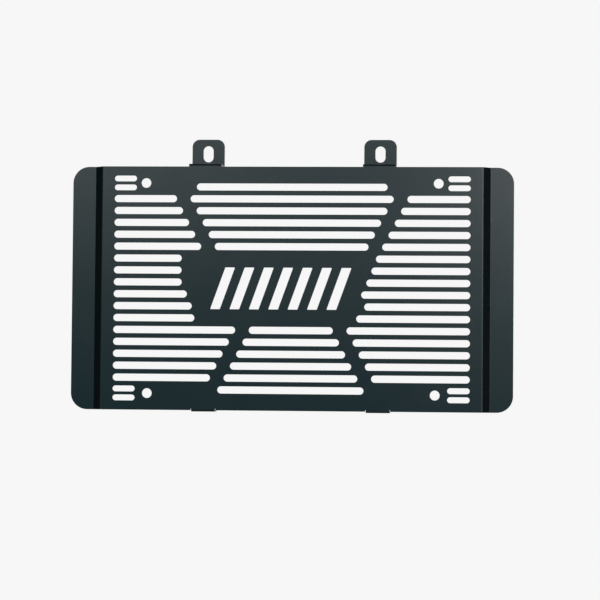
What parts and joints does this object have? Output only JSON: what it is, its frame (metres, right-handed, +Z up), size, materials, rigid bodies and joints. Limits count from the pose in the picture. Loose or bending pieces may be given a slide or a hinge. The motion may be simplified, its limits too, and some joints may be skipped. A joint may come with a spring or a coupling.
{
  "type": "motorcycle radiator guard",
  "caption": "Folded sheet-metal radiator guard with a louvred panel, a plate with a row of slanted vents in its middle, set-back side wings, slotted ears on its top edge and support lips below.",
  "frame": {"origin": "midway between the two ear slots, on the ears' back faces, where the guard is bolted on", "axes": "+X across the guard to its right as seen from the front, +Y from its front to the radiator, +Z up"},
  "size_m": [0.2964, 0.0212, 0.1845],
  "materials": {
    "black_coat": "satin black powder coat over sheet steel"
  },
  "bodies": {
    "root": {"radiator_guard": "black_coat"}
  },
  "joints": []
}
